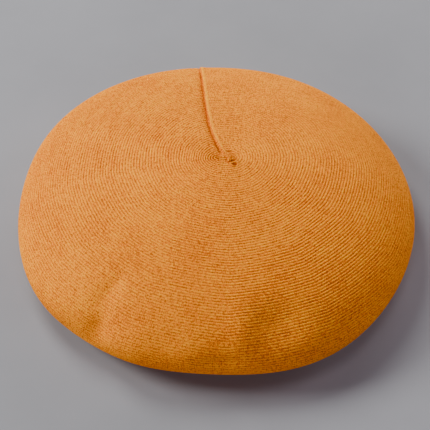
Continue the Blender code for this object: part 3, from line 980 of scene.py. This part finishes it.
def build_hem():
    """Folded edge of the knit, gathered a little by the elastic inside it."""
    azimuths = np.linspace(0.0, 2.0 * math.pi, HEM_COLUMNS + 1)[:-1]
    gather = 0.5 * np.sin(61.0 * azimuths + 1.5 * np.sin(5.0 * azimuths))
    gather = gather + 0.3 * np.sin(97.0 * azimuths + 2.0 * np.sin(3.0 * azimuths + 1.0))
    rings = []
    outer, total = hem_path(0.0, HEM_ROWS)
    inner = hem_path(KNIT_THICKNESS, HEM_INNER_ROWS)[0]
    for outside, places in ((True, outer), (False, inner[::-1])):
        for radius, height, out, up, travelled in places:
            turned = math.exp(-((radius - HEM_MIDDLE_RADIUS + HEM_TURN_RADIUS) / HEM_GATHER_REACH) ** 2)
            wale = travelled / HEM_RIB_PITCH
            sink = 0.0
            if outside:
                sink = RIB_DEPTH * rib_valley(wale) + HEM_GATHER * turned * (1.0 - gather)
            points = np.stack([
                (radius - out * sink) * np.cos(azimuths),
                (radius - out * sink) * np.sin(azimuths),
                height - up * sink + 0.0 * azimuths,
            ], axis=-1) + AXIS
            rings.append({
                "points": points,
                "columns": np.append(azimuths, azimuths[0] + 2.0 * math.pi),
                "scale": radius / STITCH_LENGTH,
                "row": wale,
                "shade": 0.0 * azimuths,
            })
    mesh = rings_mesh("headband_welt_fabric", rings)
    turn_faces_outward(mesh)
    mesh.set_sharp_from_angle(angle=TURNED_EDGE)
    piece = add_piece("headband_welt_fabric", mesh, WOOL)
    return piece, total


hem, hem_girth = build_hem()
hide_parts("headband_welt")


# ---------------------------------------------------------------- stitches and label
WELT_STITCHES = 150
WELT_YARN_RADIUS = 0.00045
TACK_STITCHES = 12
TACK_YARN_RADIUS = 0.00022
STITCH_POINTS = 8


def build_welt_stitches():
    """Linking stitches that hold the hem's upper layer down to the underside."""
    chooser = random.Random(4)
    paths = []
    radius = HEM_OUTER_RADIUS + 0.0006
    low = KNIT_THICKNESS + 0.0006
    high = HEM_HEIGHT - 0.0002
    for k in range(WELT_STITCHES):
        start = 2.0 * math.pi * k / WELT_STITCHES
        lean = 0.55 * 2.0 * math.pi / WELT_STITCHES + chooser.uniform(-0.003, 0.003)
        path = []
        for j in range(STITCH_POINTS + 1):
            share = j / STITCH_POINTS
            turn = start + lean * share
            bow = 0.0006 * math.sin(math.pi * share)
            reach = radius + bow - 0.0010 * (share > 0.95)
            height = low + (high - low) * share + 0.0004 * math.sin(math.pi * share)
            path.append((
                AXIS[0] + reach * math.cos(turn),
                AXIS[1] + reach * math.sin(turn),
                height,
            ))
        paths.append(path)
    mesh = tube_mesh("welt_linking_stitches", paths, WELT_YARN_RADIUS, 6)
    piece = add_piece("welt_linking_stitches", mesh, YARN)
    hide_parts("welt_stitch")


build_welt_stitches()

LABEL_JOINT = next(j for j in frame["record"]["behaviour"]["joints"] if j["name"] == "label_flap")
HINGE = Vector(LABEL_JOINT["pos_m"])
HINGE_AXIS = Vector(LABEL_JOINT["axis"]).normalized()
LABEL_OUT = HINGE_AXIS.cross(Vector((0.0, 0.0, 1.0))).normalized()
if LABEL_OUT.dot(HINGE - Vector(AXIS.tolist())) < 0.0:
    LABEL_OUT = -LABEL_OUT
LABEL_WIDTH = 0.030
LABEL_LENGTH = 0.024
TAPE_THICKNESS = 0.00016
TAPE_GAP = 0.00012


def label_point(across, out, up):
    return HINGE + HINGE_AXIS * across + LABEL_OUT * out + Vector((0.0, 0.0, up))


def build_label():
    """Blank tape folded once at its free end, both ends caught in the tacked edge."""
    across_count = 26
    half = TAPE_THICKNESS + 0.5 * TAPE_GAP
    reach = LABEL_LENGTH - half
    section = []
    steps = 22
    for k in range(steps + 1):
        section.append((reach * k / steps, -half + 0.5 * TAPE_THICKNESS))
    for k in range(1, 8):
        turn = math.pi * k / 8
        middle = half - 0.5 * TAPE_THICKNESS
        section.append((reach + middle * math.sin(turn), -middle * math.cos(turn)))
    for k in range(steps + 1):
        section.append((reach * (1.0 - k / steps), half - 0.5 * TAPE_THICKNESS))
    verts = []
    for out, up in section:
        for j in range(across_count + 1):
            across = LABEL_WIDTH * (j / across_count - 0.5)
            edge = 0.00010 * math.cos(2.0 * math.pi * j / across_count * 2.0)
            curl = 0.0006 * (out / LABEL_LENGTH) ** 2 * math.cos(2.5 * across / LABEL_WIDTH + 0.4)
            verts.append(tuple(label_point(across, out, up + curl + edge * out / LABEL_LENGTH)))
    wide = across_count + 1
    faces = []
    for k in range(len(section) - 1):
        for j in range(across_count):
            a = k * wide + j
            faces.append((a, a + 1, a + wide + 1, a + wide))
    mesh = bpy.data.meshes.new("care_label_tape")
    mesh.from_pydata(verts, [], faces)
    label = add_piece("care_label_tape", mesh, TAPE, LABEL_BODY)
    thick = label.modifiers.new("thickness", "SOLIDIFY")
    thick.thickness = TAPE_THICKNESS
    thick.offset = 0.0
    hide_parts("care_label")
    return label


label = build_label()


def build_label_tacks():
    """Separate slanted stitches along the label's sewn edge."""
    paths = []
    for k in range(TACK_STITCHES):
        across = LABEL_WIDTH * ((k + 0.5) / TACK_STITCHES - 0.5)
        path = []
        for j in range(STITCH_POINTS + 1):
            share = j / STITCH_POINTS
            out = -0.0022 + 0.0030 * share
            up = -0.0007 + 0.0009 * math.sin(math.pi * share)
            path.append(tuple(label_point(across + 0.0005 * (share - 0.5), out, up)))
        paths.append(path)
    mesh = tube_mesh("label_tack_stitches", paths, TACK_YARN_RADIUS, 6)
    piece = add_piece("label_tack_stitches", mesh, YARN)
    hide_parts("label_tack")


build_label_tacks()

for node in ("elastic_cord", "elastic_join"):
    solid = frame["nodes"][node]
    for spot in solid.material_slots:
        spot.material = BRAID


# ---------------------------------------------------------------- floor, light and camera
FLOOR_HALF = 8.0
FLOOR_LEVEL = -0.0003
LIGHT_DISTANCE = 3.0
LIGHTS = (                    # name, azimuth, elevation, size, power, colour
    ("key", 168.0, 31.0, 1.3, 110.0, (1.0, 1.10, 1.0)),
    ("back_key", 125.0, 48.0, 1.3, 70.0, (1.0, 1.10, 1.0)),
    ("back", 68.0, 15.0, 1.5, 42.0, (1.0, 1.04, 1.0)),
    ("rim", 28.0, 13.0, 1.3, 40.0, (1.0, 0.95, 1.0)),
    ("front", 254.0, 20.0, 1.3, 34.0, (1.0, 0.93, 1.0)),
    ("top", 0.0, 85.0, 1.3, 14.0, (1.0, 1.0, 1.0)),
)
WORLD_STRENGTH = 0.005


def add_floor():
    mesh = bpy.data.meshes.new("floor")
    corners = ((-1.0, -1.0), (1.0, -1.0), (1.0, 1.0), (-1.0, 1.0))
    verts = [(x * FLOOR_HALF, y * FLOOR_HALF, FLOOR_LEVEL) for x, y in corners]
    mesh.from_pydata(verts, [], [(0, 1, 2, 3)])
    material, tree, shader = new_tree("floor_paint")
    shade = noise_node(tree, object_vector(tree), 9.0, 4.0)
    stops = ((0.3, (0.217, 0.200, 0.231)), (0.7, (0.243, 0.224, 0.257)))
    tree.links.new(ramp_node(tree, shade, stops), shader.inputs["Base Color"])
    shader.inputs["Roughness"].default_value = 0.85
    mesh.materials.append(material)
    floor = bpy.data.objects.new("floor", mesh)
    bpy.context.scene.collection.objects.link(floor)


def add_area_light(name, azimuth, elevation, size, power, colour):
    data = bpy.data.lights.new(name, "AREA")
    data.shape = "DISK"
    data.size = size
    data.energy = power
    data.color = colour
    lamp = bpy.data.objects.new(name, data)
    turn = math.radians(azimuth)
    rise = math.radians(elevation)
    lamp.location = (
        LIGHT_DISTANCE * math.cos(rise) * math.cos(turn),
        LIGHT_DISTANCE * math.cos(rise) * math.sin(turn),
        LIGHT_DISTANCE * math.sin(rise),
    )
    lamp.rotation_euler = Vector(lamp.location).to_track_quat("Z", "Y").to_euler()
    bpy.context.scene.collection.objects.link(lamp)


def add_world():
    world = bpy.data.worlds.new("studio")
    world.use_nodes = True
    backdrop = world.node_tree.nodes["Background"]
    backdrop.inputs["Color"].default_value = (1.0, 1.0, 1.0, 1.0)
    backdrop.inputs["Strength"].default_value = WORLD_STRENGTH
    bpy.context.scene.world = world


CAMERA_ELEVATION = math.radians(48.45)
CAMERA_DISTANCE = 0.90
CAMERA_LENS = 107.0
CAMERA_SENSOR = 36.0
AIM_LOWER = 0.0034            # the aim is this far below the middle of the rim, seen by the camera,
AIM_RIGHT = 0.0015            # and this far to its right


def add_camera():
    data = bpy.data.cameras.new("camera")
    data.lens = CAMERA_LENS
    data.sensor_width = CAMERA_SENSOR
    data.dof.use_dof = False
    camera = bpy.data.objects.new("camera", data)
    middle = Vector((AXIS[0], AXIS[1], RIM_HEIGHT))
    back = Vector((0.0, -math.cos(CAMERA_ELEVATION), math.sin(CAMERA_ELEVATION)))
    up = Vector((0.0, math.sin(CAMERA_ELEVATION), math.cos(CAMERA_ELEVATION)))
    place = middle + back * CAMERA_DISTANCE
    aim = middle - up * AIM_LOWER + Vector((AIM_RIGHT, 0.0, 0.0))
    camera.location = place
    camera.rotation_euler = (place - aim).to_track_quat("Z", "Y").to_euler()
    bpy.context.scene.collection.objects.link(camera)
    bpy.context.scene.camera = camera


add_floor()
for light in LIGHTS:
    add_area_light(*light)
add_world()
add_camera()

# ---------------------------------------------------------------- final update
bpy.context.view_layer.update()
